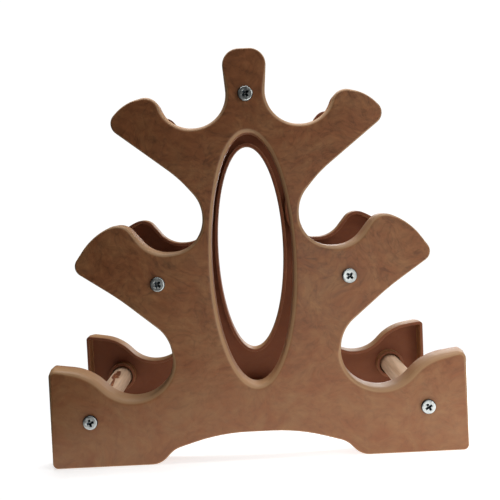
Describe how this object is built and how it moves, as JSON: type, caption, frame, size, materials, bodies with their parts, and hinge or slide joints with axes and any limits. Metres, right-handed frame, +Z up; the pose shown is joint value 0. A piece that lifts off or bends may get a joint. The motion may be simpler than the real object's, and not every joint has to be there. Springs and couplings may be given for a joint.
{
  "type": "dumbbell rack",
  "caption": "Tree-shaped desktop rack with two matching moulded side panels joined by wooden rods, holding pairs of small dumbbells in side cradles.",
  "frame": {"origin": "on the ground, midway between the feet and midway between the two panels", "axes": "+X to the right across the feet, +Y from the front panel to the rear panel, +Z up"},
  "size_m": [0.341, 0.1632, 0.331],
  "materials": {
    "panel_plastic": "satin, wood-brown, faintly swirled",
    "dowel_wood": "bare, sanded",
    "screw_steel": "zinc plated"
  },
  "bodies": {
    "root": {"front_panel": "panel_plastic", "rear_panel": "panel_plastic", "dowel_top": "dowel_wood", "dowel_mid_left": "dowel_wood", "dowel_mid_right": "dowel_wood", "dowel_low_left": "dowel_wood", "dowel_low_right": "dowel_wood", "screw_front_top": "screw_steel", "screw_front_mid_left": "screw_steel", "screw_front_mid_right": "screw_steel", "screw_front_low_left": "screw_steel", "screw_front_low_right": "screw_steel", "screw_rear_top": "screw_steel", "screw_rear_mid_left": "screw_steel", "screw_rear_mid_right": "screw_steel", "screw_rear_low_left": "screw_steel", "screw_rear_low_right": "screw_steel"}
  },
  "joints": []
}
